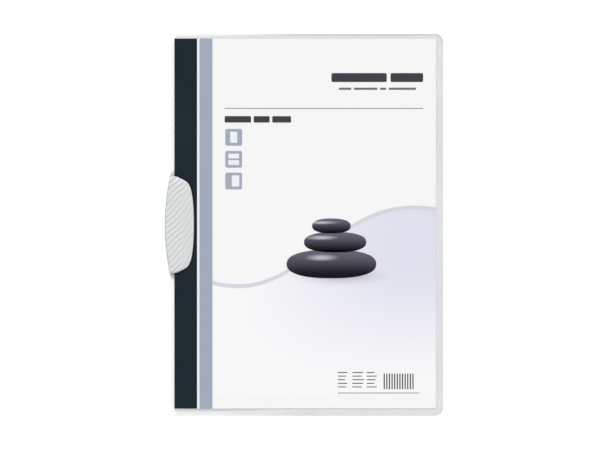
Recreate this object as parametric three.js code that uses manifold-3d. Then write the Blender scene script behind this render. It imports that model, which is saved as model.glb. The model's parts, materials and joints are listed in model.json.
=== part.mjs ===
// A clip folder for A4 sheets. A clear film cover is folded at the spine round a printed sheet, and a moulded
// clip grips the sheets through a cut-out at the spine edge. The clip turns about a stud near the folder's head.
// Millimetres. The folder lies on its back: X from spine to fore-edge, Y up the page, Z up from the table.

import * as THREE from 'three';
import { mergeVertices } from 'three/addons/utils/BufferGeometryUtils.js';
import Module from 'manifold-3d';

const { lerp, smoothstep } = THREE.MathUtils;

// Driving sizes

const cover = {
  width: 218.5, // spine edge to fore-edge
  height: 306.5,
  film: 0.5,
  cornerRadius: 6.5, // the two fore-edge corners
  foldRadius: 0.8, // outside of the rear fold
  backSettles: 95, // where the back cover reaches the table
  frontSettles: 125, // where the front cover reaches the sheet
};

const spine = {
  depth: 2, // between the covers at the spine
  beadRadius: 0.4, // the rounded crease that the front cover turns about
  beadGap: 0.15,
};

const sheet = {
  width: 210,
  height: 297,
  thickness: 0.2,
  fromSpine: 2.9,
  fromHead: 3.9,
  air: 0.1, // between the sheet and each cover
};

const leaf = {
  thickness: 1.6,
  arcRadius: 187, // the bowed outer edge
  bulge: 4.85, // how far the outer edge stands out past the spine
  reach: 21, // how far the inner edge goes in under the back cover
  endRadius: 7,
  bevel: 0.3,
  toCover: 0.3, // running gap under the back cover
  coverMargin: 3, // the back cover stays level this far past the leaf
};

const jaw = {
  halfLength: 38, // at the wall
  reach: 18.6, // spine edge to the middle of the lip
  endReach: 7.6, // spine edge to the ends of the lip
  lipHalfLength: 37.4,
  endBow: 1.1, // how far each end bulges along the page
  plate: 1.3, // thickness
  toSheet: 0.3, // gap between the lip and the sheet
  rise: 2.2, // how much higher the plate is at the wall than at the lip
  shoulderRadius: 0.7,
  lipRadius: 0.5,
  endRounding: 0.6,
  innerFillet: 0.5,
};

const ripple = {
  height: 0.5, // trough to ridge
  pitch: 4.4, // square across the ridges
  angle: THREE.MathUtils.degToRad(43), // ridges against the X axis
  sway: 0.12, // how far a ridge snakes, in pitches
  swayLength: 42,
  lean: 0.45, // 0 for even waves, more for dunes with one steep side
  rim: 0.35, // smooth border round the ripples
  fade: 1.4, // the ripples grow over this width inside the border
};

const web = {
  halfLength: 34.2,
  runOut: 2.2, // length of the rounded end
  wall: 1.9,
  outset: 0.15, // step from the leaf's edge
  draft: 0.75, // lean of the outer face
  leastWall: 0.55,
  fromSpine: 0.4, // clear of the cover's edge
};

const stud = {
  fromMiddle: 37.5, // along the page, on the centre of the leaf's rounded end
  shankRadius: 2,
  flangeRadius: 4,
  headRadius: 3.6,
  headDrop: 0.15, // the head stays this far above the table
  headThickness: 0.45,
  radialGap: 0.3,
  faceGap: 0.25,
  land: 0.5, // the leaf's thickness between head and flange
};

const cutOut = {
  halfLength: 42.9, // at the crease
  gap: 2, // round the jaw's lip
  backEdge: 0.9, // the back cover's edge behind the clip, past its fold
};

const detail = {
  rows: 70, // sections along the clip
  ripplePoints: 17,
  roofPoints: 5,
  arcPoints: 3,
  outlinePoints: 24,
  curveSegments: 12,
};

// Levels above the table

const backLevel = leaf.thickness + leaf.toCover;
const creaseLevel = backLevel + cover.film + spine.depth + cover.film / 2;
const sheetTop = backLevel + cover.film + sheet.air + sheet.thickness;
const lipUnder = sheetTop + jaw.toSheet;
const lipTop = lipUnder + jaw.plate;
const tall = creaseLevel + jaw.rise + jaw.plate; // above every piece, for cutters

// Solids

const wasm = await Module();
wasm.setup();

// A closed geometry as a solid that can be joined and cut. Triangles that collapsed to a line are left out.
function solidOf(geometry) {
  const bare = geometry.clone();
  bare.deleteAttribute('normal');
  bare.deleteAttribute('uv');
  const merged = mergeVertices(bare);
  const corners = [];
  for (let i = 0; i < merged.index.count; i += 3) {
    const [a, b, c] = [0, 1, 2].map((k) => merged.index.getX(i + k));
    if (a !== b && b !== c && c !== a) corners.push(a, b, c);
  }
  const vertProperties = new Float32Array(merged.attributes.position.array);
  return new wasm.Manifold(new wasm.Mesh({ numProp: 3, vertProperties, triVerts: new Uint32Array(corners) }));
}

function meshOf(name, solid, material) {
  const { vertProperties, triVerts } = solid.getMesh();
  const geometry = new THREE.BufferGeometry();
  geometry.setAttribute('position', new THREE.BufferAttribute(vertProperties, 3));
  geometry.setIndex(new THREE.BufferAttribute(triVerts, 1));
  geometry.computeVertexNormals();
  const mesh = new THREE.Mesh(geometry, material);
  mesh.name = name;
  return mesh;
}

// A plan outline raised from one level to another.
function prism(shape, bottom, top) {
  const options = { depth: top - bottom, bevelEnabled: false, curveSegments: detail.curveSegments };
  return solidOf(new THREE.ExtrudeGeometry(shape, options).translate(0, 0, bottom));
}

// An outline in X and Z carried along Y from one end to the other.
function extrusion(shape, yLow, yHigh) {
  const options = { depth: yHigh - yLow, bevelEnabled: false, curveSegments: detail.curveSegments };
  return solidOf(new THREE.ExtrudeGeometry(shape, options).rotateX(Math.PI / 2).translate(0, yHigh, 0));
}

// A profile of radius and height turned about a vertical axis through (x, y).
function turned(profile, x, y) {
  const points = profile.map(([radius, height]) => new THREE.Vector2(radius, height));
  const geometry = new THREE.LatheGeometry(points, 4 * detail.curveSegments);
  return solidOf(geometry.rotateX(Math.PI / 2).translate(x, y, 0));
}

// A skin over rings of points, closed at both ends. Each ring runs clockwise in its own outline's plane.
function loft(rings) {
  const count = rings[0].points.length;
  const faces = [];
  for (let row = 0; row < rings.length - 1; row++) {
    for (let i = 0; i < count; i++) {
      const a = row * count + i;
      const b = row * count + ((i + 1) % count);
      faces.push(a, b, b + count, a, b + count, a + count);
    }
  }
  for (const row of [0, rings.length - 1]) {
    const outline = rings[row].outline.toReversed();
    for (const triangle of THREE.ShapeUtils.triangulateShape(outline, [])) {
      const corners = triangle.map((i) => row * count + count - 1 - i);
      faces.push(...(row === 0 ? corners : corners.reverse()));
    }
  }
  const geometry = new THREE.BufferGeometry();
  const places = rings.flatMap((ring) => ring.points.flatMap((point) => point.toArray()));
  geometry.setAttribute('position', new THREE.Float32BufferAttribute(places, 3));
  geometry.setIndex(faces);
  return solidOf(geometry);
}

// Heights of the films and the sheet across the folder

const backLevelTo = leaf.reach + leaf.coverMargin;
const backUnder = (x) => backLevel * (1 - smoothstep(x, backLevelTo, cover.backSettles));

const frontHigh = creaseLevel - cover.film / 2;
const frontLow = cover.film + sheet.thickness + 2 * sheet.air;
const frontUnder = (x) => lerp(frontHigh, frontLow, smoothstep(x, 0, cover.frontSettles));

const sheetUnder = (x) => backUnder(x) + cover.film + sheet.air;

// Points along one face of a film, close together where it bends and then straight to its edge.
function faceLine(height, from, bendsTo, to, steps = 28) {
  const xs = Array.from({ length: steps + 1 }, (_, i) => lerp(from, bendsTo, i / steps));
  return [...xs, to].map((x) => [x, height(x)]);
}

function followLine(shape, points) {
  for (const [x, z] of points) shape.lineTo(x, z);
}

// The cover's outline in plan, with a straight spine side that clears the crease.
function coverOutline() {
  const { width, height, cornerRadius: r } = cover;
  const shape = new THREE.Shape();
  shape.moveTo(-leaf.bulge, -height / 2);
  shape.lineTo(width - r, -height / 2);
  shape.absarc(width - r, r - height / 2, r, -Math.PI / 2, 0);
  shape.absarc(width - r, height / 2 - r, r, 0, Math.PI / 2);
  shape.lineTo(-leaf.bulge, height / 2);
  return shape;
}

// Back cover: the flat film, the fold at its spine side and the strip that rises from the fold

function makeBackCover() {
  const { width, height, film, foldRadius: r } = cover;
  const stripTop = creaseLevel - spine.beadRadius - spine.beadGap;
  const foldLevel = backLevel + r;
  const underside = faceLine(backUnder, backLevelTo, cover.backSettles, width);
  const shape = new THREE.Shape();
  shape.moveTo(0, stripTop);
  shape.lineTo(0, foldLevel);
  shape.absarc(r, foldLevel, r, Math.PI, 1.5 * Math.PI);
  followLine(shape, underside);
  followLine(shape, underside.toReversed().map(([x, z]) => [x, z + film]));
  shape.absarc(r, foldLevel, r - film, 1.5 * Math.PI, Math.PI, true);
  shape.lineTo(film, stripTop);

  const notch = new THREE.Shape();
  const notchLeft = -leaf.bulge;
  notch.moveTo(notchLeft, -cutOut.halfLength);
  notch.lineTo(cutOut.backEdge, -cutOut.halfLength);
  notch.lineTo(cutOut.backEdge, cutOut.halfLength);
  notch.lineTo(notchLeft, cutOut.halfLength);

  return extrusion(shape, -height / 2, height / 2)
    .intersect(prism(coverOutline(), -film, tall))
    .subtract(prism(notch, -film, tall));
}

// Front cover: the crease bead and the film that slopes down to lie on the sheet

function makeFrontCover() {
  const { width, height, film, frontSettles } = cover;
  const bead = spine.beadRadius;
  const filmAngle = Math.asin(film / 2 / bead);
  const filmStart = bead * (1 + Math.cos(filmAngle));
  const underside = faceLine(frontUnder, filmStart, frontSettles, width);
  const shape = new THREE.Shape();
  shape.absarc(bead, creaseLevel, bead, filmAngle, 2 * Math.PI - filmAngle);
  followLine(shape, underside.slice(1));
  followLine(shape, underside.slice(1).toReversed().map(([x, z]) => [x, z + film]));

  return extrusion(shape, -height / 2, height / 2)
    .intersect(prism(coverOutline(), -film, tall))
    .subtract(prism(clipCutOut(), -film, tall));
}

// Insert sheet

function makeSheet() {
  const { width, height, thickness, fromSpine, fromHead } = sheet;
  const head = cover.height / 2 - fromHead;
  const underside = [
    [fromSpine, sheetUnder(fromSpine)],
    ...faceLine(sheetUnder, backLevelTo, cover.backSettles, fromSpine + width),
  ];
  const shape = new THREE.Shape();
  shape.moveTo(...underside[0]);
  followLine(shape, underside.slice(1));
  followLine(shape, underside.toReversed().map(([x, z]) => [x, z + thickness]));
  return extrusion(shape, head - height, head);
}

// The clip's plan. Its rear leaf is a lens between two arcs whose ends are rounded about the pivot.

const arcCentreX = leaf.arcRadius - leaf.bulge;
const outerEdge = (y) => arcCentreX - Math.sqrt(leaf.arcRadius ** 2 - y ** 2);
const pivotX = arcCentreX - Math.sqrt((leaf.arcRadius - leaf.endRadius) ** 2 - stud.fromMiddle ** 2);

function leafOutline() {
  const { arcRadius, reach, endRadius: r } = leaf;
  const y = stud.fromMiddle;
  const inward = reach - pivotX;
  const innerRadius = (inward ** 2 + y ** 2 - r ** 2) / (2 * (inward - r));
  const innerCentreX = reach - innerRadius;
  const outerTurn = Math.atan2(y, arcCentreX - pivotX);
  const innerTurn = Math.atan2(y, pivotX - innerCentreX);
  const shape = new THREE.Shape();
  shape.absarc(arcCentreX, 0, arcRadius, Math.PI - outerTurn, Math.PI + outerTurn);
  shape.absarc(pivotX, -y, r, Math.PI + outerTurn, 2 * Math.PI - innerTurn);
  shape.absarc(innerCentreX, 0, innerRadius, -innerTurn, innerTurn);
  shape.absarc(pivotX, y, r, innerTurn, Math.PI - outerTurn);
  return shape;
}

// The free edge of the jaw, a smooth curve through the middle of the lip, its shoulders and its ends.
const { reach, endReach, lipHalfLength } = jaw;
const lipHalf = [
  [endReach, 1],
  [lerp(endReach, reach, 0.63), 0.866],
  [lerp(endReach, reach, 0.91), 0.55],
];
const lipLine = new THREE.SplineCurve(
  [
    ...lipHalf.map(([x, share]) => [x, -share * lipHalfLength]),
    [reach, 0],
    ...lipHalf.toReversed().map(([x, share]) => [x, share * lipHalfLength]),
  ].map(([x, y]) => new THREE.Vector2(x, y)),
);

// The D-shaped hole in the front cover: the lip's curve moved out by the gap, and a straight side past the spine.
function clipCutOut() {
  const shape = new THREE.Shape();
  const spineSide = -leaf.bulge;
  shape.moveTo(spineSide, -cutOut.halfLength);
  shape.lineTo(0, -cutOut.halfLength);
  for (let i = 0; i <= detail.outlinePoints; i++) {
    const at = i / detail.outlinePoints;
    const along = lipLine.getTangentAt(at);
    const point = lipLine.getPointAt(at).add(new THREE.Vector2(along.y, -along.x).multiplyScalar(cutOut.gap));
    shape.lineTo(point.x, point.y);
  }
  shape.lineTo(0, cutOut.halfLength);
  shape.lineTo(spineSide, cutOut.halfLength);
  return shape;
}

// Ripples: dunes across the jaw, as a height from 0 in the troughs to ripple.height on the ridges.
function rippleHeight(x, y) {
  const along = x * Math.cos(ripple.angle) + y * Math.sin(ripple.angle);
  const across = y * Math.cos(ripple.angle) - x * Math.sin(ripple.angle);
  const phase = across / ripple.pitch + ripple.sway * Math.sin((2 * Math.PI * along) / ripple.swayLength);
  const turn = 2 * Math.PI * phase;
  return (ripple.height * (1 + Math.sin(turn + ripple.lean * Math.sin(turn)))) / 2;
}

// One section across the web and jaw. v runs from -1 at the foot to 1 at the head, s from the wall to the lip.
function clipSection(v) {
  const wallY = v * jaw.halfLength;
  const left = new THREE.Vector2(outerEdge(wallY), wallY);
  const right = lipLine.getPointAt((v + 1) / 2);
  const across = right.distanceTo(left);
  const bow = jaw.endBow * Math.sign(v) * Math.abs(v) ** 3;
  const fromEnd = (1 - Math.abs(v)) * jaw.halfLength;
  const plan = (s) => {
    const point = left.clone().lerp(right, s / across);
    point.y += bow * 4 * (s / across) * (1 - s / across);
    return point;
  };

  const pastRound = Math.max(0, jaw.endRounding - fromEnd);
  const endDrop = jaw.endRounding - Math.sqrt(jaw.endRounding ** 2 - pastRound ** 2);
  const smoothTop = (s) => lipTop + jaw.rise * (1 - s / across);
  const roof = (s) => smoothTop(s) - jaw.plate;
  const top = (s) => {
    const point = plan(s);
    const fromRim = Math.min(s - web.outset, across - s, fromEnd);
    const fade = smoothstep(fromRim, ripple.rim, ripple.rim + ripple.fade);
    return smoothTop(s) - endDrop + rippleHeight(point.x, point.y) * fade;
  };

  const inner = Math.min(web.wall, -web.fromSpine - left.x);
  const lean = Math.min(web.draft, inner - web.leastWall);
  const shoulder = Math.max(lean, web.outset) + jaw.shoulderRadius;
  const shoulderLevel = top(shoulder) - jaw.shoulderRadius;
  const foot = leaf.thickness / 2;
  const raised = roof(inner) - 1.5 * jaw.innerFillet;
  const pastWeb = smoothstep(Math.abs(wallY), web.halfLength, web.halfLength + web.runOut);
  const wallBottom = lerp(foot, raised, pastWeb);
  const wallTop = shoulder - jaw.shoulderRadius;
  const outerFace = (z) => lerp(web.outset, wallTop, (z - foot) / (shoulderLevel - foot));

  const outline = [];
  const add = (s, z) => outline.push(new THREE.Vector2(s, z));
  const arc = (s, z, radius, from, to) => {
    for (let i = 1; i <= detail.arcPoints; i++) {
      const angle = lerp(from, to, i / detail.arcPoints);
      add(s + radius * Math.cos(angle), z + radius * Math.sin(angle));
    }
  };
  const line = (points, from, to, height) => {
    for (let i = 1; i <= points; i++) add(lerp(from, to, i / points), height(lerp(from, to, i / points)));
  };
  const lip = across - jaw.lipRadius;
  add(outerFace(wallBottom), wallBottom);
  add(outerFace((wallBottom + shoulderLevel) / 2), (wallBottom + shoulderLevel) / 2);
  add(wallTop, shoulderLevel);
  arc(shoulder, shoulderLevel, jaw.shoulderRadius, Math.PI, Math.PI / 2);
  line(detail.ripplePoints, shoulder, lip, top);
  arc(lip, top(lip) - jaw.lipRadius, jaw.lipRadius, Math.PI / 2, 0);
  add(across, roof(across) + jaw.lipRadius / 2);
  add(across - jaw.lipRadius / 2, roof(across - jaw.lipRadius / 2));
  const fillet = inner + jaw.innerFillet;
  line(detail.roofPoints, across - jaw.lipRadius / 2, fillet, roof);
  arc(fillet, roof(fillet) - jaw.innerFillet, jaw.innerFillet, Math.PI / 2, Math.PI);
  add(inner, wallBottom);

  const points = outline.map(({ x: s, y: z }) => {
    const { x, y } = plan(s);
    return new THREE.Vector3(x, y, z);
  });
  return { outline, points };
}

// Stations along the clip: even over its length, and close together where the ends are rounded.
function sectionStations() {
  const fullEnd = 1 - jaw.endRounding / jaw.halfLength;
  const even = Array.from({ length: detail.rows + 1 }, (_, i) => lerp(-fullEnd, fullEnd, i / detail.rows));
  const rounded = [0, 0.1, 0.35, 0.65].map((share) => 1 - (share * jaw.endRounding) / jaw.halfLength);
  return [...rounded.map((v) => -v), ...even, ...rounded.toReversed()];
}

// The stepped hole for the stud: a counterbore from below, the land, and a recess from above.
const landTop = stud.headDrop + stud.headThickness + stud.faceGap + stud.land;

function studHole() {
  const landBottom = landTop - stud.land;
  const { shankRadius, headRadius, flangeRadius, radialGap } = stud;
  const past = leaf.thickness + leaf.toCover / 2;
  const profile = [
    [0, -leaf.bevel],
    [headRadius + radialGap, -leaf.bevel],
    [headRadius + radialGap, landBottom],
    [shankRadius + radialGap, landBottom],
    [shankRadius + radialGap, landTop],
    [flangeRadius + radialGap, landTop],
    [flangeRadius + radialGap, past],
    [0, past],
  ];
  return turned(profile, pivotX, stud.fromMiddle);
}

function makeClip() {
  const { thickness, bevel } = leaf;
  const leafOptions = {
    depth: thickness - 2 * bevel,
    bevelThickness: bevel,
    bevelSize: bevel,
    bevelOffset: -bevel,
    bevelSegments: 2,
    curveSegments: detail.curveSegments,
  };
  const rearLeaf = solidOf(new THREE.ExtrudeGeometry(leafOutline(), leafOptions).translate(0, 0, bevel));
  const webAndJaw = loft(sectionStations().map(clipSection));
  return rearLeaf.add(webAndJaw).subtract(studHole());
}

// Pivot stud: a flange against the back cover, the shank, and the head that keeps the leaf on

function makeStud() {
  const headTop = stud.headDrop + stud.headThickness;
  const flangeUnder = landTop + stud.faceGap;
  const profile = [
    [0, stud.headDrop],
    [stud.headRadius, stud.headDrop],
    [stud.headRadius, headTop],
    [stud.shankRadius, headTop],
    [stud.shankRadius, flangeUnder],
    [stud.flangeRadius, flangeUnder],
    [stud.flangeRadius, backLevel],
    [0, backLevel],
  ];
  return turned(profile, pivotX, stud.fromMiddle);
}

// Materials

const clearFilm = new THREE.MeshStandardMaterial({
  color: 0xe9eef0,
  roughness: 0.35,
  metalness: 0,
  transparent: true,
  opacity: 0.3,
});
const greyMoulding = new THREE.MeshStandardMaterial({ color: 0xd6dadb, roughness: 0.4, metalness: 0 });
const paper = new THREE.MeshStandardMaterial({ color: 0xf6f6f4, roughness: 0.9, metalness: 0 });

// The folder, centred over its own outline

const group = new THREE.Group();
group.add(
  meshOf('back_cover', makeBackCover(), clearFilm),
  meshOf('pivot_stud', makeStud(), greyMoulding),
  meshOf('insert_sheet', makeSheet(), paper),
  meshOf('pivoting_clip', makeClip(), greyMoulding),
  meshOf('front_cover', makeFrontCover(), clearFilm),
);
group.position.x = (leaf.bulge - cover.width) / 2;

export default group;
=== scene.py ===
# %% [markdown]
# # A clear folder with a turning clip
#
# The folder is one clear plastic film, folded at the spine round a printed A4 sheet. A light grey clip
# grips the sheets through a D-shaped cut-out at the spine, and turns about a stud near the head. The cells
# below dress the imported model: first the film, then the sheet and its print, then the clip, and last the
# table, lamp and camera.

# %% Load the frame
import json
import math

import bpy
import numpy as np
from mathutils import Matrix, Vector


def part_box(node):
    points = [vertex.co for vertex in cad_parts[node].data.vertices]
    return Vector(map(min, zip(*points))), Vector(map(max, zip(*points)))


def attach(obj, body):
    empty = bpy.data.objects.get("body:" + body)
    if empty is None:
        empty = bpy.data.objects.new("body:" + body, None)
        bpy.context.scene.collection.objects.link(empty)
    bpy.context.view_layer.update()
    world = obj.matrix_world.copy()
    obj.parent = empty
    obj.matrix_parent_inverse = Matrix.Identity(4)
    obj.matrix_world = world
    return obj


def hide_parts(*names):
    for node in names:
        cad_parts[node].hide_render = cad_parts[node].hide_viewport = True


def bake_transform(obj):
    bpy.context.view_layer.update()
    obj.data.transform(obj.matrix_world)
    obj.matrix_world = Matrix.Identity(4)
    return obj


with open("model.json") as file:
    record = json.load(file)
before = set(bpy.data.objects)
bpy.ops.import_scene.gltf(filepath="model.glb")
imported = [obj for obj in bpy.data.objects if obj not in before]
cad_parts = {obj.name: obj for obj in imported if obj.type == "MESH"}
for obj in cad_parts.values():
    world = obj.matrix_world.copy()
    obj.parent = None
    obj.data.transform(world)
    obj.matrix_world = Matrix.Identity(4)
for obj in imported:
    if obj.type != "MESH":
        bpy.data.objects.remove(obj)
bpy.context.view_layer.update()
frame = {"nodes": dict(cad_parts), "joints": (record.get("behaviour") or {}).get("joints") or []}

# %% [markdown]
# ## Sizes taken from the frame
#
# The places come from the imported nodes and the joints, so that each surface lies where its solid lies. What
# the frame can't tell, such as the film's thickness or where each film settles, is a named length.

# %% Places and lengths, in metres
MM = 0.001

back_low, back_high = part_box("back_cover")
front_low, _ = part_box("front_cover")
sheet_low, sheet_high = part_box("insert_sheet")
stud_low, stud_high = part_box("pivot_stud")
clip_low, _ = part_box("pivoting_clip")
joints = {joint["name"]: joint for joint in frame["joints"]}

SPINE_X, FORE_X, HALF_HEIGHT = back_low.x, back_high.x, back_high.y
RAISED = stud_high.z
CREASE_Z = joints["cover_fold"]["pos_m"][2]
PIVOT = np.array(joints["clip_pivot"]["pos_m"][:2])

FILM = 0.5 * MM
SHEET_AIR = 0.1 * MM
LEVEL_TO, BACK_SETTLES, FRONT_SETTLES = 24 * MM, 95 * MM, 125 * MM
CORNER_RADIUS = 6.5 * MM
CUT_HALF_LENGTH, CUT_GAP, CUT_BACK_EDGE = 42.9 * MM, 2.0 * MM, 0.9 * MM
places = {"spine edge": SPINE_X, "fore-edge": FORE_X, "crease level": CREASE_Z}
print({name: round(place / MM, 2) for name, place in places.items()}, "mm")


# %% [markdown]
# ## Curves of the film
#
# The folder bulges over the clip's rear leaf and lies flat further out. Each film's height is a smooth step
# from its raised level to its flat level, as a function of the distance from the spine.

# %% Heights across the folder
def smooth(value):
    """0 below 0, 1 above 1, and 3 t squared less 2 t cubed between."""
    t = np.clip(value, 0, 1)
    return t * t * (3 - 2 * t)


def mix(a, b, t):
    """The straight blend from a to b."""
    return a + (b - a) * t


def back_under(x):
    """Height of the back film's underside, x metres from the spine."""
    return RAISED * (1 - smooth((x - LEVEL_TO) / (BACK_SETTLES - LEVEL_TO)))


def front_under(x):
    """Height of the front film's underside, from the crease down to the sheet."""
    return mix(CREASE_Z - FILM / 2, front_low.z, smooth(x / FRONT_SETTLES))


def sheet_under(x):
    """Height of the sheet's underside: on the back film, with a little air."""
    return back_under(x) + FILM + SHEET_AIR


# %% [markdown]
# ## The lip of the clip
#
# The jaw's free edge is one smooth curve through seven points, the same curve that the solid has. The
# cut-out in the front film is this curve moved outwards, so both are worked out from one function.

# %% Lip curve and cut-out edge
LIP_REACH, LIP_END_REACH, LIP_HALF_LENGTH = 18.6 * MM, 7.6 * MM, 37.4 * MM
lip_half = [(0.0, 1.0), (0.63, 0.866), (0.91, 0.55)]
lip_points = np.array(
    [(mix(LIP_END_REACH, LIP_REACH, t), -share * LIP_HALF_LENGTH) for t, share in lip_half]
    + [(LIP_REACH, 0.0)]
    + [(mix(LIP_END_REACH, LIP_REACH, t), share * LIP_HALF_LENGTH) for t, share in lip_half[::-1]]
)


def smooth_path(points, steps=400):
    """A Catmull-Rom curve: each piece leaves and arrives along half the chord between its neighbours."""
    padded = np.vstack([points[:1], points, points[-1:]])
    t = np.linspace(0, 1, steps, endpoint=False)[:, None]
    pieces = []
    for p0, p1, p2, p3 in zip(padded, padded[1:], padded[2:], padded[3:]):
        leave, arrive = (p2 - p0) / 2, (p3 - p1) / 2
        cubic = (2 * (p1 - p2) + leave + arrive) * t**3
        square = (3 * (p2 - p1) - 2 * leave - arrive) * t**2
        pieces.append(cubic + square + leave * t + p1)
    return np.vstack([*pieces, points[-1:]])


lip_path = smooth_path(lip_points)
lip_lengths = np.append(0, np.cumsum(np.hypot(*np.diff(lip_path, axis=0).T)))


def lip_at(share):
    """Points of the lip, from 0 at its foot end to 1 at its head end, evenly by length."""
    at = share * lip_lengths[-1]
    return np.stack([np.interp(at, lip_lengths, lip_path[:, k]) for k in range(2)], axis=-1)


def cut_out_left(y):
    """How far from the spine the front film begins, up the page: the lip moved out by the gap."""
    tangent = np.gradient(lip_path, axis=0)
    tangent /= np.linalg.norm(tangent, axis=1)[:, None]
    edge = lip_path + CUT_GAP * np.stack([tangent[:, 1], -tangent[:, 0]], axis=-1)
    edge = np.vstack([(0, -CUT_HALF_LENGTH), edge, (0, CUT_HALF_LENGTH)])
    return np.interp(y, edge[:, 1], edge[:, 0])


print("lip length", round(lip_lengths[-1] / MM, 1), "mm")


# %% [markdown]
# ## Meshes from grids
#
# Film, paper and ink are all thin slabs: a grid of points above, a grid below, and walls round the edge.
# One helper makes them from two arrays. Cells can be left out, which is how a notch or a cut-out is made.

# %% Slab and mesh helpers
def new_object(name, vertices, faces):
    """A mesh object at the origin from arrays of points and faces."""
    mesh = bpy.data.meshes.new(name)
    mesh.from_pydata(np.asarray(vertices).tolist(), [], [list(map(int, face)) for face in faces])
    mesh.validate()
    obj = bpy.data.objects.new(name, mesh)
    bpy.context.collection.objects.link(obj)
    return obj


def slab_arrays(top, bottom, keep=None):
    """Points and faces of a closed slab between two grids of points. keep says which cells are there."""
    rows, columns = top.shape[:2]
    index = np.arange(rows * columns).reshape(rows, columns)
    below = index + rows * columns
    keep = np.ones((rows - 1, columns - 1), bool) if keep is None else keep
    here = np.pad(keep, 1)

    def quads(corners, mask):
        return np.stack([corner[mask] for corner in corners], axis=-1)

    def cell(grid):
        return grid[:-1, :-1], grid[:-1, 1:], grid[1:, 1:], grid[1:, :-1]

    faces = [quads(cell(index), keep), quads(cell(below)[::-1], keep)]

    above_line, below_line = here[1:, 1:-1], here[:-1, 1:-1]
    wall = (index[:, :-1], below[:, :-1], below[:, 1:], index[:, 1:])
    faces.append(quads(wall, above_line & ~below_line))
    faces.append(quads(wall[::-1], below_line & ~above_line))

    right_line, left_line = here[1:-1, 1:], here[1:-1, :-1]
    wall = (index[1:], below[1:], below[:-1], index[:-1])
    faces.append(quads(wall, right_line & ~left_line))
    faces.append(quads(wall[::-1], left_line & ~right_line))

    faces = np.vstack(faces)
    used, renumbered = np.unique(faces, return_inverse=True)
    points = np.vstack([top.reshape(-1, 3), bottom.reshape(-1, 3)])[used]
    return points, renumbered.reshape(faces.shape)


def join_arrays(parts):
    """Several (points, faces) pairs as one."""
    offsets = np.cumsum([0] + [len(points) for points, _ in parts[:-1]])
    points = np.vstack([points for points, _ in parts])
    return points, np.vstack([faces + offset for (_, faces), offset in zip(parts, offsets)])


def shade_smooth(obj, sharp_degrees=35):
    """Smooth shading, with creases kept where faces meet at more than this angle."""
    obj.data.polygons.foreach_set("use_smooth", np.ones(len(obj.data.polygons), bool))
    obj.data.set_sharp_from_angle(angle=math.radians(sharp_degrees))


def finish_piece(obj, material, body=None):
    """Gives a piece its material and the body that it rides on."""
    obj.data.materials.clear()
    obj.data.materials.append(material)
    if body:
        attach(obj, body)
    print(obj.name, len(obj.data.polygons), "faces")
    return obj


# %% [markdown]
# ## Shader helpers and shared effects
#
# Nodes are made by short helpers, so that a material reads as a list of what it does. One effect is in
# every finish of the folder: a fine grain that breaks up gloss, with a slow drift in tone. It is a node
# group, built once and placed in each material with its own values.

# %% Shader helpers
def new_material(name):
    """An empty node material with its output."""
    material = bpy.data.materials.new(name)
    material.use_nodes = True
    tree = material.node_tree
    tree.nodes.clear()
    return material, tree, tree.nodes.new("ShaderNodeOutputMaterial")


def fill(tree, socket, value):
    """Sets a socket to a value, or links it to another node's output."""
    if isinstance(value, bpy.types.NodeSocket):
        tree.links.new(value, socket)
    else:
        socket.default_value = value


def add(tree, kind, **inputs):
    """A node with some of its sockets filled, by name, or by number as i0, i1 and so on."""
    node = tree.nodes.new(kind)
    for name, value in inputs.items():
        numbered = name[0] == "i" and name[1:].isdigit()
        fill(tree, node.inputs[int(name[1:]) if numbered else name.replace("_", " ")], value)
    return node


def math_node(tree, operation, *values):
    """A Math node's output."""
    node = tree.nodes.new("ShaderNodeMath")
    node.operation = operation
    for socket, value in zip(node.inputs, values):
        fill(tree, socket, value)
    return node.outputs[0]


def blend_colours(tree, factor, first, second):
    """A Mix node's colour, from first at 0 to second at 1."""
    node = tree.nodes.new("ShaderNodeMix")
    node.data_type = "RGBA"
    for number, value in zip((0, 6, 7), (factor, first, second)):
        fill(tree, node.inputs[number], value)
    return node.outputs[2]


def map_range(tree, value, source, target):
    """A Map Range node's output: the source range carried to the target range, and level past its ends."""
    (low, high), (first, last) = source, target
    return add(tree, "ShaderNodeMapRange", Value=value, i1=low, i2=high, i3=first, i4=last).outputs[0]


def grained_shader(tree, colour, grain, bump, **plain):
    """A Principled shader with the grain's roughness and a bump. plain names sockets that hold one value."""
    rough = grain.outputs["Roughness"]
    return add(
        tree, "ShaderNodeBsdfPrincipled", Base_Color=colour, Roughness=rough, Normal=bump.outputs[0], **plain
    )


def srgb(red, green, blue):
    """A screen colour from 0 to 255 as the linear colour that a shader takes."""
    screen = np.array([red, green, blue]) / 255
    linear = np.where(screen <= 0.04045, screen / 12.92, ((screen + 0.055) / 1.055) ** 2.4)
    return (*linear.tolist(), 1.0)


def new_group(name, inputs, outputs):
    """A shader node group with named sockets, and its two end nodes."""
    group = bpy.data.node_groups.new(name, "ShaderNodeTree")
    for label, kind, value in inputs:
        socket = group.interface.new_socket(label, in_out="INPUT", socket_type=kind)
        socket.default_value = value
    for label, kind in outputs:
        group.interface.new_socket(label, in_out="OUTPUT", socket_type=kind)
    return group, group.nodes.new("NodeGroupInput"), group.nodes.new("NodeGroupOutput")


def place_group(tree, group, **values):
    """A group node with its inputs set or linked."""
    node = tree.nodes.new("ShaderNodeGroup")
    node.node_tree = group
    for name, value in values.items():
        fill(tree, node.inputs[name.replace("_", " ")], value)
    return node


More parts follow.
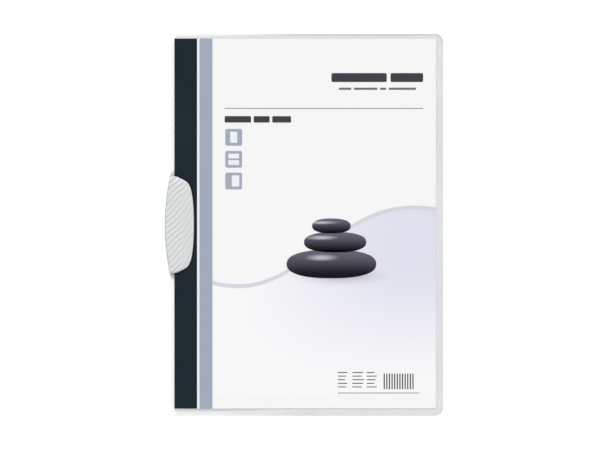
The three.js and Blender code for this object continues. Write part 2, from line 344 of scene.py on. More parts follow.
# %% Grain group
def make_grain_group():
    """Fine grain: a height for bump, a roughness that varies a little with it, and a slow tone."""
    number = "NodeSocketFloat"
    group, given, result = new_group(
        "surface_grain",
        [("Grain per metre", number, 2500.0), ("Roughness", number, 0.4), ("Spread", number, 0.08)],
        [("Height", number), ("Roughness", number), ("Tone", number)],
    )
    place = add(group, "ShaderNodeTexCoord").outputs["Object"]
    per_metre, spread = given.outputs["Grain per metre"], given.outputs["Spread"]
    fine = add(group, "ShaderNodeTexNoise", Vector=place, Scale=per_metre, Detail=3.0, Roughness=0.55)
    slow = add(group, "ShaderNodeTexNoise", Vector=place, Scale=22.0, Detail=2.0)
    wander = math_node(group, "MULTIPLY", math_node(group, "SUBTRACT", slow.outputs["Fac"], 0.5), spread)
    sparkle = math_node(group, "MULTIPLY", math_node(group, "SUBTRACT", fine.outputs["Fac"], 0.5), spread)
    both = math_node(group, "ADD", wander, sparkle)
    group.links.new(fine.outputs["Fac"], result.inputs["Height"])
    group.links.new(math_node(group, "ADD", both, given.outputs["Roughness"]), result.inputs["Roughness"])
    group.links.new(slow.outputs["Fac"], result.inputs["Tone"])
    return group


grain_group = make_grain_group()
print("groups:", [group.name for group in bpy.data.node_groups])


# %% [markdown]
# ## Clear film
#
# The film is polypropylene: clear, faintly milky, and grained so finely that it only softens its gloss.
# Seen straight on it nearly vanishes, and near the edge of sight it shines. That is a Transparent shader
# mixed with a glossy pale one by Layer Weight. A cut edge looks denser than the film, so faces that stand
# upright get more body and a greyer tint. Close to the fold, where the film curves up and lies free of the
# table, its body and its edges are weaker. The back film's grey body is partly its milky haze and partly
# painted shade: it grows from the spine out to where the film lies on the table, standing in for the shade
# of the table under the folder.

# %% Film materials
FOLD_ZONE, FOLD_SHARE = (2 * MM, 5 * MM), 0.35
PAINTED_SHADE_ZONE = (3 * MM, 110 * MM)
SHINE, SHINE_POWER = 0.6, 4.0
PLASTIC_IOR = 1.49


def make_film(name, haze, spine_share, body_colour, edge_body):
    """A see-through film. haze is how much of it shows straight on, and spine_share how much of that is left
    near the spine; the rise from there to the full haze is painted shade of the table under the folder.
    Its shine grows to the side with the fourth power of how far a face turns away."""
    material, tree, out = new_material(name)
    coordinates = add(tree, "ShaderNodeTexCoord")
    grain = place_group(tree, grain_group, Grain_per_metre=1800.0, Roughness=0.22, Spread=0.1)
    bump = add(tree, "ShaderNodeBump", Strength=0.06, Distance=0.0002, Height=grain.outputs["Height"])
    position = add(tree, "ShaderNodeSeparateXYZ", Vector=coordinates.outputs["Object"]).outputs
    upright = add(tree, "ShaderNodeSeparateXYZ", Vector=coordinates.outputs["Normal"]).outputs
    flatness = math_node(tree, "ABSOLUTE", upright["Z"])
    distance = math_node(tree, "ABSOLUTE", math_node(tree, "SUBTRACT", position["X"], SPINE_X))
    past_fold = map_range(tree, distance, FOLD_ZONE, (FOLD_SHARE, 1.0))
    edge = math_node(tree, "MULTIPLY", map_range(tree, flatness, (0.25, 0.6), (1.0, 0.0)), past_fold)
    # Painted shade: the grey body grows from spine_share of the haze near the spine to the full haze where
    # the film lies on the table.
    haze_and_painted_shade = map_range(tree, distance, PAINTED_SHADE_ZONE, (spine_share * haze, haze))
    from_spine = math_node(tree, "MULTIPLY", haze_and_painted_shade, past_fold)
    tone = math_node(tree, "MULTIPLY", math_node(tree, "SUBTRACT", grain.outputs["Tone"], 0.5), haze * 0.35)
    away = add(tree, "ShaderNodeLayerWeight", Blend=0.5, Normal=bump.outputs[0]).outputs["Facing"]
    shine = math_node(tree, "MULTIPLY", math_node(tree, "POWER", away, SHINE_POWER), SHINE)
    body = math_node(tree, "ADD", math_node(tree, "ADD", tone, from_spine), shine)
    body = math_node(tree, "MULTIPLY_ADD", edge, edge_body, body)
    body = math_node(tree, "MINIMUM", body, 1.0)
    clear = add(tree, "ShaderNodeBsdfTransparent")
    tint = blend_colours(tree, edge, body_colour, srgb(150, 158, 164))
    plastic = grained_shader(tree, tint, grain, bump, IOR=PLASTIC_IOR)
    shader = add(tree, "ShaderNodeMixShader", Fac=body, i1=clear.outputs[0], i2=plastic.outputs[0])
    tree.links.new(shader.outputs[0], out.inputs["Surface"])
    return material


front_film_finish = make_film("clear_film", 0.0015, 1.0, srgb(236, 240, 242), 0.85)
# The back film's grey body is partly milky haze and partly painted shade of the table under the folder.
back_film_haze_and_shade = make_film("milky_film_and_painted_shade", 0.25, 0.6, srgb(211, 214, 216), 0.6)


# %% [markdown]
# ## Film surfaces
#
# Each film is a midline carried up the page, with half its thickness on each side. The front film starts
# low on the spine strip, turns over the crease and runs to the fore-edge. In front of the clip its strip
# and crease are left out, and its near edge follows the cut-out. Rows lie close together where an edge
# curves.

# %% Film grids
def page_rows(dense_from, dense_to):
    """Heights on the page: close together by the cut-out's ends and the rounded corners, and even between."""
    corner = HALF_HEIGHT - CORNER_RADIUS * (1 - np.sin(np.linspace(0, np.pi / 2, 13)))
    plain = np.linspace(CUT_HALF_LENGTH, HALF_HEIGHT - CORNER_RADIUS, 26)[1:-1]
    dense = np.linspace(dense_from, dense_to, 40)
    middle = np.linspace(0, dense_from, 14)[1:-1]
    half = np.concatenate([middle, dense, plain, corner])
    return np.concatenate([-half[::-1], [0.0], half])


def fore_edge(y):
    """Distance from the spine to the fore-edge, less in the two rounded corners."""
    past = np.clip(np.abs(y) - (HALF_HEIGHT - CORNER_RADIUS), 0, CORNER_RADIUS)
    return FORE_X - SPINE_X - CORNER_RADIUS + np.sqrt(CORNER_RADIUS**2 - past**2)


def film_grids(lead, rows, x, height):
    """Upper and lower points of a film. lead holds the (x, z, normal x, normal z) of the columns that bend at
    the spine, the same in each row, and x the rest as distances, whose midline height is a function."""
    step = 1e-6
    slope = (height(x + step) - height(x - step)) / (2 * step)
    length = np.sqrt(1 + slope**2)
    mid = np.stack([x, height(x), -slope / length, 1 / length], axis=-1)
    mid = np.concatenate([np.broadcast_to(lead, (len(rows), *lead.shape)), mid], axis=1)
    y = np.broadcast_to(rows[:, None], mid.shape[:2])

    def surface(side):
        across = SPINE_X + mid[..., 0] + side * FILM / 2 * mid[..., 2]
        level = mid[..., 1] + side * FILM / 2 * mid[..., 3]
        return np.stack([across, y, level], axis=-1)

    return surface(1), surface(-1)


def bend(centre_x, centre_z, radius, from_degrees, to_degrees, count, side=1):
    """Columns round a bend: points at a radius, with normals away from its centre, or to it for side -1."""
    angle = np.radians(np.linspace(from_degrees, to_degrees, count))
    out = np.stack([np.cos(angle), np.sin(angle)], axis=-1)
    return np.column_stack([centre_x + radius * out[:, 0], centre_z + radius * out[:, 1], side * out])


def upright_columns(from_z, to_z, count, normal_x):
    """Columns up the spine strip, half the film's thickness in from the spine edge."""
    level = np.linspace(from_z, to_z, count + 1)[:-1]
    return np.column_stack([np.full(count, FILM / 2), level, np.full(count, normal_x), np.zeros(count)])


def film_slab(rows, lead, near, height, columns=74, widening=1.6):
    """A film's points and faces: the lead at the spine, then ever wider columns out to the fore-edge."""
    shares = np.linspace(0, 1, columns) ** widening
    x = mix(near, fore_edge(rows)[:, None], shares[None, :])
    top, bottom = film_grids(lead, rows, x, height)
    keep = np.ones((len(rows) - 1, top.shape[1] - 1), bool)
    in_cut = np.abs(rows[:-1] + rows[1:]) / 2 < CUT_HALF_LENGTH
    keep[in_cut, : len(lead)] = False
    return slab_arrays(top, bottom, keep)


# %% Front film with its crease
SEAM_DROP, BEND_RADIUS, CREASE_RUN = 1.05 * MM, 0.5 * MM, 0.4 * MM
STRIP_SEAM_Z = CREASE_Z - SEAM_DROP
DENSE_FROM = 30 * MM
rows = page_rows(DENSE_FROM, CUT_HALF_LENGTH)
strip = upright_columns(STRIP_SEAM_Z, CREASE_Z - BEND_RADIUS, 4, -1.0)
crease = bend(FILM / 2 + BEND_RADIUS, CREASE_Z - BEND_RADIUS, BEND_RADIUS, 180, 90, 9)
in_front_of_clip = np.where(np.abs(rows) < CUT_HALF_LENGTH, cut_out_left(rows), 0)
near = np.maximum(in_front_of_clip, FILM / 2 + BEND_RADIUS + CREASE_RUN)[:, None]
front_slab = film_slab(rows, np.vstack([strip, crease]), near, lambda d: front_under(d) + FILM / 2)
front_film = new_object("front_film", *front_slab)
shade_smooth(front_film)
finish_piece(front_film, front_film_finish)
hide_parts("front_cover")

# %% Back film with the lower part of the spine strip
OUTER_FOLD_RADIUS = 0.8 * MM
FOLD_RADIUS = OUTER_FOLD_RADIUS - FILM / 2
fold_z = RAISED + FOLD_RADIUS + FILM / 2
strip = upright_columns(STRIP_SEAM_Z, fold_z, 3, 1.0)
fold = bend(FILM / 2 + FOLD_RADIUS, fold_z, FOLD_RADIUS, 180, 270, 9, side=-1)
back_slab = film_slab(rows, np.vstack([strip, fold]), CUT_BACK_EDGE, lambda d: back_under(d) + FILM / 2)
back_film = new_object("back_film", *back_slab)
shade_smooth(back_film)
finish_piece(back_film, back_film_haze_and_shade, "folder")
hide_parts("back_cover")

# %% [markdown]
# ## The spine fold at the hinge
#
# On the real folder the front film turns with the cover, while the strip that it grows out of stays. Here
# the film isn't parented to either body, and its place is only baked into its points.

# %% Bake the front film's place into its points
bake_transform(front_film)

# %% [markdown]
# ## The sheet
#
# The insert is a sheet of A4, thin and dull, lying on the back film and following its rise to the spine.
# Its white is a little uneven, as paper is, with fibres that only just show.

# %% Paper
def make_paper():
    """Matt white paper with a fine noise of long fibres in its colour and bump."""
    material, tree, out = new_material("white_paper")
    coordinates = add(tree, "ShaderNodeTexCoord").outputs["Object"]
    stretched = add(tree, "ShaderNodeMapping", Vector=coordinates, Scale=(900.0, 2600.0, 900.0)).outputs[0]
    noise = add(tree, "ShaderNodeTexNoise", Vector=stretched, Scale=1.0, Detail=4.0, Roughness=0.6)
    fibre = noise.outputs["Fac"]
    grain = place_group(tree, grain_group, Grain_per_metre=1500.0, Roughness=0.78, Spread=0.1)
    drift = math_node(tree, "MULTIPLY", grain.outputs["Tone"], 0.5)
    shade = math_node(tree, "MULTIPLY_ADD", fibre, 0.5, drift)
    colour = blend_colours(tree, shade, srgb(243, 243, 244), srgb(249, 249, 248))
    bump = add(tree, "ShaderNodeBump", Strength=0.12, Distance=0.0001, Height=fibre)
    shader = grained_shader(tree, colour, grain, bump, Specular_IOR_Level=0.25)
    tree.links.new(shader.outputs[0], out.inputs["Surface"])
    return material


def sheet_grid(x, y, lift):
    """Points lifted off the sheet's upper face: x from its left edge and y down from its head, in metres."""
    x, y = np.broadcast_arrays(x, y)
    from_spine = x + (sheet_low.x - SPINE_X)
    level = sheet_under(from_spine) + SHEET_THICKNESS + lift
    return np.stack([sheet_low.x + x, sheet_high.y - y, level], axis=-1)


SHEET_WIDTH, SHEET_HEIGHT = sheet_high.x - sheet_low.x, sheet_high.y - sheet_low.y
SHEET_THICKNESS = round((sheet_high.z - RAISED - FILM - SHEET_AIR) / MM, 3) * MM
x, y = np.linspace(0, SHEET_WIDTH, 90)[None, :], np.linspace(SHEET_HEIGHT, 0, 4)[:, None]
paper_sheet = new_object("paper_sheet", *slab_arrays(sheet_grid(x, y, 0), sheet_grid(x, y, -SHEET_THICKNESS)))
shade_smooth(paper_sheet)
finish_piece(paper_sheet, make_paper(), "folder")
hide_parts("insert_sheet")


# %% [markdown]
# ## Print
#
# Print is ink on the paper: flat fields a few hundredths of a millimetre thick, each its own mesh that
# follows the sheet. Where the real sheet has words there are plain bars, and its picture is a plain design
# of rounded stones. A shape is two arrays of places on the sheet, so rectangles, stones and waves all go
# through one helper.

# %% Ink helpers
INK = 0.02 * MM


def rectangle(left, head, right, foot, radius=0.0, columns=10):
    """A rectangle in millimetres on the sheet, as rows that narrow where its rounded corners turn."""
    turn = radius * (1 - np.cos(np.linspace(0, np.pi / 2, 7))) if radius else np.zeros(1)
    y = np.concatenate([head + turn, foot - turn[::-1]])
    past = np.clip(np.maximum(head + radius - y, y - foot + radius), 0, radius)
    inset = radius - np.sqrt(radius**2 - past**2)
    u = np.linspace(0, 1, max(columns, int((right - left) / 3)))
    return mix((left + inset)[:, None], (right - inset)[:, None], u[None, :]), y[:, None]


def stone(centre_x, centre_y, half_width, half_height, power=2.4):
    """A pebble as rows from head to foot. The powers of its two shares add up to 1 on its outline."""
    turn = np.linspace(-np.pi / 2, np.pi / 2, 41)
    rise = np.sin(turn)
    reach = half_width * (1 - np.abs(rise) ** power) ** (1 / power)
    across = centre_x + reach[:, None] * np.linspace(-1, 1, 30)[None, :]
    return across, centre_y + half_height * rise[:, None]


def print_ink(name, shapes, material, layer=1):
    """One mesh for all shapes of an ink. layer 2 lies on layer 1."""
    parts = []
    for x, y in shapes:
        x, y = np.broadcast_arrays(x * MM, y * MM)
        over = (x[::-1], y[::-1])
        parts.append(slab_arrays(sheet_grid(*over, layer * INK), sheet_grid(*over, (layer - 0.9) * INK)))
    piece = new_object(name, *join_arrays(parts))
    finish_piece(piece, material, "folder")
    return piece


def ink_grain(tree, roughness):
    """The grain of the paper as it shows through ink."""
    return place_group(tree, grain_group, Grain_per_metre=1500.0, Roughness=roughness, Spread=0.12)


def ink_surface(tree, out, colour, grain):
    """The ink's shader over any colour: nearly without gloss, with the paper's grain in its bump."""
    bump = add(tree, "ShaderNodeBump", Strength=0.08, Distance=0.0001, Height=grain.outputs["Height"])
    shader = grained_shader(tree, colour, grain, bump, Specular_IOR_Level=0.03)
    tree.links.new(shader.outputs[0], out.inputs["Surface"])


PALER = 0.012


def make_ink(name, colour):
    """Printing ink: a flat colour, a touch uneven, with the paper's grain under it."""
    material, tree, out = new_material(name)
    grain = ink_grain(tree, 0.5)
    pale = tuple(c + (1 - c) * PALER for c in colour[:3]) + (1.0,)
    ink_surface(tree, out, blend_colours(tree, grain.outputs["Tone"], colour, pale), grain)
    return material


# %% Bands, rule and headings
page_mm = SHEET_HEIGHT / MM
night = make_ink("night_ink", srgb(18, 33, 41))
steel = make_ink("steel_ink", srgb(162, 172, 188))
graphite = make_ink("graphite_ink", srgb(62, 62, 68))
pencil = make_ink("pencil_ink", srgb(112, 114, 120))

print_ink("dark_band", [rectangle(0, 0, 18.2, page_mm)], night)
print_ink("steel_band", [rectangle(20.1, 0, 30.5, page_mm)], steel)
print_ink("heading_rule", [rectangle(40.3, 55.7, 199.7, 56.3)], pencil)


def bar_row(spans, head, foot, radius):
    """Rounded bars between the same two levels, one for each (left, right) in millimetres."""
    return [rectangle(left, head, right, foot, radius) for left, right in spans]


heading = bar_row([(40.3, 61.5), (63.6, 76.4), (78.5, 93.6)], 62.2, 67.4, 0.9)
title = bar_row([(126.0, 170.5), (173.5, 199.7)], 27.6, 34.8, 1.2)
print_ink("heading_bars", heading + title, graphite)
subtitle = bar_row([(132, 142), (144, 163), (165, 170), (172, 194)], 39.3, 41.1, 0.6)
print_ink("subtitle_bars", subtitle, pencil)

# %% Three small squares
square_heads = (72.5, 90.2, 107.6)
SQUARE, SQUARE_LEFT = 13.5, 40.8
squares = [rectangle(SQUARE_LEFT, head, SQUARE_LEFT + SQUARE, head + SQUARE, 1.6) for head in square_heads]
print_ink("squares", squares, steel)
white = make_ink("blank_ink", srgb(240, 241, 244))
page_places = [
    (0, 3.9, 2.2, 9.6, 11.2),
    (1, 2.4, 2.2, 11.1, 6.0),
    (1, 2.4, 7.4, 11.1, 11.2),
    (2, 5.2, 2.2, 11.3, 11.2),
]
pages = []
for square, left, head, right, foot in page_places:
    down = square_heads[square]
    pages.append(rectangle(SQUARE_LEFT + left, down + head, SQUARE_LEFT + right, down + foot, 0.5))
print_ink("square_pages", pages, white, layer=2)

# %% Lines at the foot
LINE_STEP, LINE_HEIGHT, COLUMN_STEP, SHORTER = 2.9, 0.7, 11.6, 0.9
foot_lines = []
for row in range(5):
    head = 267.8 + LINE_STEP * row
    for column, length in enumerate((7.5, 9.5, 8.0)):
        left = 131.2 + COLUMN_STEP * column
        right = left + length - SHORTER * ((row + column) % 3)
        foot_lines.append(rectangle(left, head, right, head + LINE_HEIGHT))
print_ink("foot_lines", foot_lines, pencil)
COMB_STEP, COMB_BAR = 2.1, 0.9
comb = [rectangle(168.0 + COMB_STEP * k, 269.0, 168.0 + COMB_BAR + COMB_STEP * k, 281.6) for k in range(12)]
print_ink("foot_comb", comb, graphite)
print_ink("foot_rule", [rectangle(131.2, 284.4, 196.8, 284.9)], pencil)


# %% [markdown]
# ## The printed picture
#
# A pale lilac ground rises in a long wave and fades into the paper at the foot. On it stands a small stack
# of dark stones with a soft shadow. The fades follow the position on the sheet, so they are ramps of Object
# coordinates.

# %% Picture inks
def sheet_place(tree):
    """Sockets for the place on the sheet: across from its left edge and down from its head, in mm."""
    coordinates = add(tree, "ShaderNodeTexCoord").outputs["Object"]
    position = add(tree, "ShaderNodeSeparateXYZ", Vector=coordinates).outputs
    across = math_node(tree, "MULTIPLY", math_node(tree, "SUBTRACT", position["X"], sheet_low.x), 1000)
    down = math_node(tree, "MULTIPLY", math_node(tree, "SUBTRACT", sheet_high.y, position["Y"]), 1000)
    return across, down


def ramp(tree, value, low, high):
    """0 at low and 1 at high, smoothly."""
    node = add(tree, "ShaderNodeMapRange", Value=value, i1=low, i2=high)
    node.interpolation_type = "SMOOTHSTEP"
    return node.outputs[0]


def spot(tree, across, down, centre, radii):
    """1 in the middle of an ellipse and 0 past its edge."""
    dx = math_node(tree, "DIVIDE", math_node(tree, "SUBTRACT", across, centre[0]), radii[0])
    dy = math_node(tree, "DIVIDE", math_node(tree, "SUBTRACT", down, centre[1]), radii[1])
    square = math_node(tree, "ADD", math_node(tree, "MULTIPLY", dx, dx), math_node(tree, "MULTIPLY", dy, dy))
    return ramp(tree, math_node(tree, "SQRT", square), 1.0, 0.0)


PICTURE_ROUGHNESS = 0.6


def make_ground():
    """Lilac that is deepest to the right under the wave and fades to paper at the foot and to the left."""
    material, tree, out = new_material("lilac_ground")
    across, down = sheet_place(tree)
    fade = math_node(tree, "MULTIPLY", ramp(tree, down, 285.0, 175.0), ramp(tree, across, 30.0, 190.0))
    colour = blend_colours(tree, fade, srgb(248, 248, 249), srgb(224, 225, 238))
    shadow = spot(tree, across, down, (134.0, 190.5), (46.0, 9.0))
    colour = blend_colours(tree, math_node(tree, "MULTIPLY", shadow, 0.75), colour, srgb(176, 176, 190))
    ink_surface(tree, out, colour, ink_grain(tree, PICTURE_ROUGHNESS))
    return material


def make_stone_ink(name, centre_y, half_height, dark, light):
    """A dark pebble: lightest on its upper shoulder, with a soft gleam and a black foot."""
    material, tree, out = new_material(name)
    across, down = sheet_place(tree)
    fall = ramp(tree, down, centre_y - half_height, centre_y + 0.8 * half_height)
    colour = blend_colours(tree, fall, light, dark)
    gleam = spot(tree, across, down, (118.0, centre_y - 0.45 * half_height), (16.0, 0.3 * half_height))
    colour = blend_colours(tree, math_node(tree, "MULTIPLY", gleam, 0.75), colour, srgb(214, 214, 224))
    ink_surface(tree, out, colour, ink_grain(tree, PICTURE_ROUGHNESS))
    return material


# %% Picture shapes
def wave_head(x):
    """The ground's upper edge in millimetres from the sheet's head: a long rise with a sine on it."""
    return 196 - 62 * smooth((x - BAND_EDGE) / 190) + 7 * np.sin((x - BAND_EDGE) / 27)


BAND_EDGE, GROUND_FOOT, WAVE_HALF = 30.5, 286.0, 1.6
x = np.linspace(BAND_EDGE, SHEET_WIDTH / MM, 80)[None, :]
share = np.linspace(0, 1, 12)[:, None]
print_ink("picture_ground", [(x, mix(wave_head(x), GROUND_FOOT, share))], make_ground())
wave = [(x, wave_head(x) + mix(-WAVE_HALF, WAVE_HALF, share))]
print_ink("picture_wave", wave, make_ink("pale_ink", srgb(214, 215, 222)), layer=2)
stones = [
    ("lower", 181.0, 11.5, 36.0, 126.0),
    ("middle", 163.5, 8.2, 25.0, 129.0),
    ("upper", 150.4, 6.0, 15.5, 126.0),
]
for label, centre_y, half_height, half_width, centre_x in stones:
    ink = make_stone_ink(f"{label}_stone_ink", centre_y, half_height, srgb(22, 20, 27), srgb(104, 101, 116))
    print_ink(f"{label}_stone", [stone(centre_x, centre_y, half_width, half_height)], ink, layer=3)

# %% [markdown]
# ## The clip
#
# The clip is one moulding: a flat leaf behind the folder, a web round the spine, and a jaw in front whose
# face is covered in slanting ripples. The web and jaw are a loft, a closed outline carried along the clip,
# as in the solid but with many more stations, so that the ripples are round. Two sets of ripples at
# different slants pass into each other midway, which gives the broken, wind-blown look of the real face.
# The leaf is a lens with softened rims. A boolean joins it to the jaw, and another cuts the stepped hole
# that the stud sits in.

# %% Clip sizes
LEAF_THICKNESS, LEAF_REACH, LEAF_END, LEAF_BEVEL = 1.6 * MM, 21 * MM, 7 * MM, 0.3 * MM
ARC_RADIUS, BULGE = 187 * MM, SPINE_X - clip_low.x
JAW_HALF, END_BOW, PLATE, RISE = 38 * MM, 1.1 * MM, 1.3 * MM, 2.2 * MM
SHOULDER, LIP_ROUND, END_ROUND, INNER_FILLET = 0.7 * MM, 0.5 * MM, 0.6 * MM, 0.5 * MM
WEB_HALF, WEB_RUN_OUT, WALL, OUTSET, DRAFT, LEAST_WALL, FROM_SPINE = (
    length * MM for length in (34.2, 2.2, 1.9, 0.15, 0.75, 0.55, 0.4)
)
LIP_TOP = sheet_high.z + 0.3 * MM + PLATE
RIPPLE_HEIGHT, RIPPLE_PITCH, RIPPLE_RIM, RIPPLE_FADE = 0.62 * MM, 3.45 * MM, 0.35 * MM, 1.4 * MM
RIPPLE_SWAY, SWAY_LENGTH, RIPPLE_LEAN = 0.13, 26 * MM, 0.45
WEB_DUNES, LIP_DUNES = (math.radians(45), 0.0), (math.radians(60), 0.3)
LIP_SHARE, PASS_FROM, PASS_TO = 0.8, 0.3, 0.75


# %% Clip surfaces
def outer_edge(y):
    """The bowed outer edge of the clip: a long arc that stands out past the spine in the middle."""
    return ARC_RADIUS - BULGE - np.sqrt(ARC_RADIUS**2 - y**2)


def dunes(x, y, angle, phase):
    """A sine square to the ridges, from 0 to 1, leaning to one side and swaying along them."""
    along = x * math.cos(angle) + y * math.sin(angle)
    across = y * math.cos(angle) - x * math.sin(angle)
    turn = 2 * np.pi * (across / RIPPLE_PITCH + RIPPLE_SWAY * np.sin(2 * np.pi * along / SWAY_LENGTH) + phase)
    return (1 + np.sin(turn + RIPPLE_LEAN * np.sin(turn))) / 2


def ripples(x, y):
    """Height of two sets of dunes, the second lower and nearer the page's height, passing over midway."""
    share = smooth((x / LIP_REACH - PASS_FROM) / (PASS_TO - PASS_FROM))
    return RIPPLE_HEIGHT * mix(dunes(x, y, *WEB_DUNES), LIP_SHARE * dunes(x, y, *LIP_DUNES), share)


def jaw_rings(stations, face_columns=80, roof_columns=8, arc_steps=6):
    """Closed outlines across the web and jaw, one for each station from -1 (foot) to 1 (head)."""
    v = stations[:, None]
    wall_y = v * JAW_HALF
    left = np.stack([outer_edge(wall_y), wall_y], axis=-1)
    right = lip_at((v + 1) / 2)
    across = np.linalg.norm(right - left, axis=-1)
    bow = END_BOW * np.sign(v) * np.abs(v) ** 3
    from_end = (1 - np.abs(v)) * JAW_HALF

    def plan(s):
        share = s / across
        point = mix(left, right, share[..., None])
        return np.stack([point[..., 0], point[..., 1] + bow * 4 * share * (1 - share)], axis=-1)

    end_drop = END_ROUND - np.sqrt(END_ROUND**2 - np.clip(END_ROUND - from_end, 0, None) ** 2)

    def smooth_top(s):
        return LIP_TOP + RISE * (1 - s / across)

    def roof(s):
        return smooth_top(s) - PLATE

    def top(s):
        point = plan(s)
        from_rim = np.minimum(np.minimum(s - OUTSET, across - s), from_end)
        fade = smooth((from_rim - RIPPLE_RIM) / RIPPLE_FADE)
        return smooth_top(s) - end_drop + ripples(point[..., 0], point[..., 1]) * fade

    inner = np.minimum(WALL, -FROM_SPINE - left[..., 0])
    shoulder = np.maximum(np.minimum(DRAFT, inner - LEAST_WALL), OUTSET) + SHOULDER
    shoulder_z = top(shoulder) - SHOULDER
    foot = LEAF_THICKNESS / 2
    raised = roof(inner) - 1.5 * INNER_FILLET
    wall_bottom = mix(foot, raised, smooth((np.abs(wall_y) - WEB_HALF) / WEB_RUN_OUT))

    def outer_face(z):
        return mix(OUTSET, shoulder - SHOULDER, (z - foot) / (shoulder_z - foot))

    def arc(s, z, radius, from_turn, to_turn):
        angle = mix(from_turn, to_turn, np.arange(1, arc_steps + 1) / arc_steps)[None, :]
        return s + radius * np.cos(angle), z + radius * np.sin(angle)

    def line(start, end, count, height):
        s = mix(start, end, np.arange(1, count + 1)[None, :] / count)
        return s, height(s)

    lip = across - LIP_ROUND
    wall_z = mix(wall_bottom, shoulder_z, np.linspace(0, 1, 5)[None, :])
    columns = [
        (outer_face(wall_z), wall_z),
        arc(shoulder, shoulder_z, SHOULDER, np.pi, np.pi / 2),
        line(shoulder, lip, face_columns, top),
        arc(lip, top(lip) - LIP_ROUND, LIP_ROUND, np.pi / 2, 0),
        (across, roof(across) + LIP_ROUND / 2),
        (across - LIP_ROUND / 2, roof(across - LIP_ROUND / 2)),
        line(across - LIP_ROUND / 2, inner + INNER_FILLET, roof_columns, roof),
        arc(inner + INNER_FILLET, roof(inner + INNER_FILLET) - INNER_FILLET, INNER_FILLET, np.pi / 2, np.pi),
        (inner, wall_bottom),
    ]

    def side_by_side(number):
        arrays = [column[number] for column in columns]
        return np.hstack([np.broadcast_to(array, (len(stations), array.shape[-1])) for array in arrays])

    s, z = side_by_side(0), side_by_side(1)
    point = plan(s)
    return np.stack([SPINE_X + point[..., 0], point[..., 1], z], axis=-1)


def loft_faces(rows, columns):
    """Quads between closed rings, and one many-sided face at each end."""
    index = np.arange(rows * columns).reshape(rows, columns)
    following = np.roll(index, -1, axis=1)
    quads = np.stack([index[:-1], following[:-1], following[1:], index[1:]], axis=-1).reshape(-1, 4)
    return [*quads.tolist(), index[0, ::-1].tolist(), index[-1].tolist()]


def clip_stations(count=300):
    """Even stations over the clip, with a few more close to each rounded end."""
    full = 1 - END_ROUND / JAW_HALF
    rounded = 1 - np.array([0, 0.04, 0.15, 0.35, 0.65]) * END_ROUND / JAW_HALF
    return np.concatenate([-rounded, np.linspace(-full, full, count), rounded[::-1]])


# %% Leaf and stud hole
def leaf_ring(inset, z, steps=60):
    """The lens outline from four arcs that meet smoothly, pulled in by inset, at height z."""
    pivot_x, y = PIVOT[0] - SPINE_X, PIVOT[1]
    arc_centre = ARC_RADIUS - BULGE
    inward = LEAF_REACH - pivot_x
    inner_radius = (inward**2 + y**2 - LEAF_END**2) / (2 * (inward - LEAF_END))
    inner_centre = LEAF_REACH - inner_radius
    outer_turn, inner_turn = math.atan2(y, arc_centre - pivot_x), math.atan2(y, pivot_x - inner_centre)
    arcs = [
        (arc_centre, 0, ARC_RADIUS, np.pi - outer_turn, np.pi + outer_turn),
        (pivot_x, -y, LEAF_END, np.pi + outer_turn, 2 * np.pi - inner_turn),
        (inner_centre, 0, inner_radius, -inner_turn, inner_turn),
        (pivot_x, y, LEAF_END, inner_turn, np.pi - outer_turn),
    ]
    ring = []
    for centre_x, centre_y, radius, start, end in arcs:
        angle = np.linspace(start, end, steps, endpoint=False)
        reach = radius - inset
        x = SPINE_X + centre_x + reach * np.cos(angle)
        ring.append(np.column_stack([x, centre_y + reach * np.sin(angle)]))
    ring = np.vstack(ring)
    return np.column_stack([ring, np.full(len(ring), z)])


def leaf_rings():
    """The leaf's outline at the levels of its rounded rims, from the table up."""
    turn = np.linspace(0, np.pi / 2, 5)
    low = [(LEAF_BEVEL * (1 - math.sin(a)), LEAF_BEVEL * (1 - math.cos(a))) for a in turn]
    levels = low + [(inset, LEAF_THICKNESS - z) for inset, z in low[::-1]]
    return np.stack([leaf_ring(inset, z) for inset, z in levels])


def hole_rings(steps=96):
    """The stepped cutter for the stud: each radius goes from one level to the next."""
    running_gap, past_leaf = 0.3 * MM, 0.15 * MM
    flange_radius = (stud_high.x - stud_low.x) / 2 + running_gap
    head_radius, shank_radius = 3.9 * MM, 2.3 * MM
    levels = (-LEAF_BEVEL, 0.85 * MM, 1.35 * MM, LEAF_THICKNESS + past_leaf)
    angle = np.linspace(0, 2 * np.pi, steps, endpoint=False)
    rings = []
    for radius, ends in zip((head_radius, shank_radius, flange_radius), zip(levels, levels[1:])):
        x, y = PIVOT[0] + radius * np.cos(angle), PIVOT[1] + radius * np.sin(angle)
        rings += [np.column_stack([x, y, np.full(steps, z)]) for z in ends]
    return np.stack(rings)


def loft_object(name, rings):
    """A closed mesh over rings of points."""
    return new_object(name, rings.reshape(-1, 3), loft_faces(*rings.shape[:2]))


def boolean(target, other, operation):
    """Joins or cuts target by other, keeps the result in target and removes other."""
    modifier = target.modifiers.new(operation, "BOOLEAN")
    modifier.operation, modifier.solver, modifier.object = operation, "EXACT", other
    evaluated = target.evaluated_get(bpy.context.evaluated_depsgraph_get())
    result = bpy.data.meshes.new_from_object(evaluated)
    target.modifiers.clear()
    target.data = result
    bpy.data.objects.remove(other)


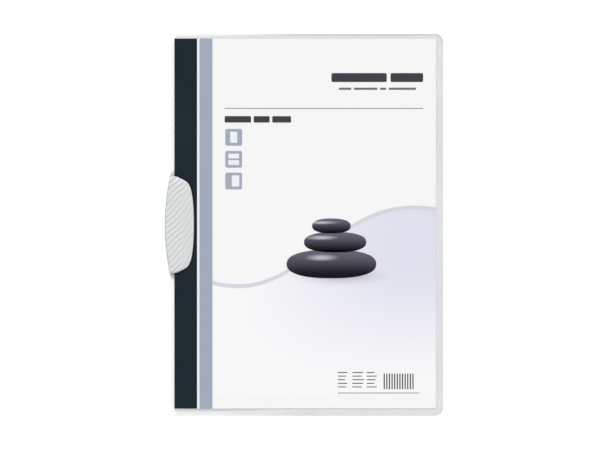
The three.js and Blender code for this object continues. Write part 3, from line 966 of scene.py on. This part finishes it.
# %% Clip material, with painted shade on its walls
def make_clip_grey_with_wall_shade():
    """Satin grey moulding: a pale grey that wanders a little, with fine grain, and painted shade that darkens
    the side walls towards a mid grey.
    """
    material, tree, out = new_material("clip_moulding")
    grain = place_group(tree, grain_group, Grain_per_metre=2200.0, Roughness=0.36, Spread=0.12)
    colour = blend_colours(tree, grain.outputs["Tone"], srgb(211, 215, 215), srgb(217, 221, 220))
    coordinates = add(tree, "ShaderNodeTexCoord").outputs["Normal"]
    upright = add(tree, "ShaderNodeSeparateXYZ", Vector=coordinates).outputs["Z"]
    # Painted shade: faces that stand upright are darkened towards a mid grey, for the shade that falls on the
    # clip's walls.
    side = map_range(tree, math_node(tree, "ABSOLUTE", upright), (0.35, 0.75), (0.9, 0.0))
    colour = blend_colours(tree, side, colour, srgb(152, 156, 156))
    bump = add(tree, "ShaderNodeBump", Strength=0.05, Distance=0.0001, Height=grain.outputs["Height"])
    shader = grained_shader(tree, colour, grain, bump, IOR=PLASTIC_IOR)
    tree.links.new(shader.outputs[0], out.inputs["Surface"])
    return material


clip_grey_with_wall_shade = make_clip_grey_with_wall_shade()

# %% Make the clip
clip_moulding = loft_object("clip_moulding", leaf_rings())
boolean(clip_moulding, loft_object("web_and_jaw", jaw_rings(clip_stations())), "UNION")
boolean(clip_moulding, loft_object("stud_hole", hole_rings()), "DIFFERENCE")
shade_smooth(clip_moulding, 40)
finish_piece(clip_moulding, clip_grey_with_wall_shade, "clip")
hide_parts("pivoting_clip")

# %% [markdown]
# ## The stud
#
# The stud is a small turned shape that sits in the leaf's stepped hole. Its solid already has the right
# form, so it stays and only takes the clip's material, painted shade on its upright faces included.

# %% Dress the stud
stud = frame["nodes"]["pivot_stud"]
stud.data.materials.clear()
stud.data.materials.append(clip_grey_with_wall_shade)

# %% [markdown]
# ## Table, lamp and camera
#
# The folder lies on a white table under soft, even light. The table takes real shadows, and it is lifted
# to white only where it is seen, not in the light that it throws back. One soft lamp beyond the folder's
# head models the ripples, and the white surroundings fill in the rest.

# %% Table and surroundings
def make_table_finish(lift):
    """White table, with a little light of its own where it is seen directly, in gloss or through film."""
    material, tree, out = new_material("white_table")
    diffuse = add(tree, "ShaderNodeBsdfDiffuse", Color=srgb(244, 244, 244))
    rays = add(tree, "ShaderNodeLightPath").outputs
    seen = math_node(tree, "MAXIMUM", rays["Is Camera Ray"], rays["Is Glossy Ray"])
    seen = math_node(tree, "MAXIMUM", seen, rays["Is Transmission Ray"])
    glow = add(tree, "ShaderNodeEmission", Strength=math_node(tree, "MULTIPLY", seen, lift))
    shader = add(tree, "ShaderNodeAddShader", i0=diffuse.outputs[0], i1=glow.outputs[0])
    tree.links.new(shader.outputs[0], out.inputs["Surface"])
    return material


def make_world(strength):
    """White surroundings that light the object by strength and look white to the eye."""
    world = bpy.data.worlds.new("studio")
    bpy.context.scene.world = world
    world.use_nodes = True
    tree = world.node_tree
    tree.nodes.clear()
    rays = add(tree, "ShaderNodeLightPath").outputs
    level = mix_value(tree, rays["Is Camera Ray"], strength, 1.0)
    background = add(tree, "ShaderNodeBackground", Strength=level)
    background.inputs["Color"].default_value = (1, 1, 1, 1)
    out = tree.nodes.new("ShaderNodeOutputWorld")
    tree.links.new(background.outputs[0], out.inputs["Surface"])


def mix_value(tree, factor, low, high):
    """low where factor is 0 and high where it is 1."""
    return math_node(tree, "MULTIPLY_ADD", factor, high - low, low)


TABLE_SIDE = 8.0
corners = [(-1, -1), (1, -1), (1, 1), (-1, 1)]
table_points = [(x * TABLE_SIDE / 2, y * TABLE_SIDE / 2, -INK) for x, y in corners]
table = new_object("table", table_points, [(0, 1, 2, 3)])
table.data.materials.append(make_table_finish(0.3))
make_world(0.66)


# %% Lamp
def add_sun(name, direction, width_degrees, strength):
    """A soft, even light from a direction, as from a very large lamp a long way off."""
    data = bpy.data.lights.new(name, "SUN")
    data.angle, data.energy = math.radians(width_degrees), strength
    lamp = bpy.data.objects.new(name, data)
    bpy.context.collection.objects.link(lamp)
    lamp.rotation_euler = Vector(direction).to_track_quat("Z", "Y").to_euler()


add_sun("key", (0.12, 1.0, 1.05), 26, 1.5)

# %% Camera
FRAME_WIDTH, LENS, SENSOR = 0.482, 120.0, 36.0
VIEW_X, VIEW_Y = SPINE_X + 103.67 * MM, 0.1 * MM
camera_data = bpy.data.cameras.new("camera")
camera_data.lens, camera_data.sensor_width = LENS, SENSOR
camera_data.clip_start, camera_data.clip_end = 0.01, 20.0
camera = bpy.data.objects.new("camera", camera_data)
camera.location = (VIEW_X, VIEW_Y, front_low.z + FRAME_WIDTH * LENS / SENSOR)
bpy.context.collection.objects.link(camera)
bpy.context.scene.camera = camera
bpy.context.scene.view_settings.view_transform = "Standard"
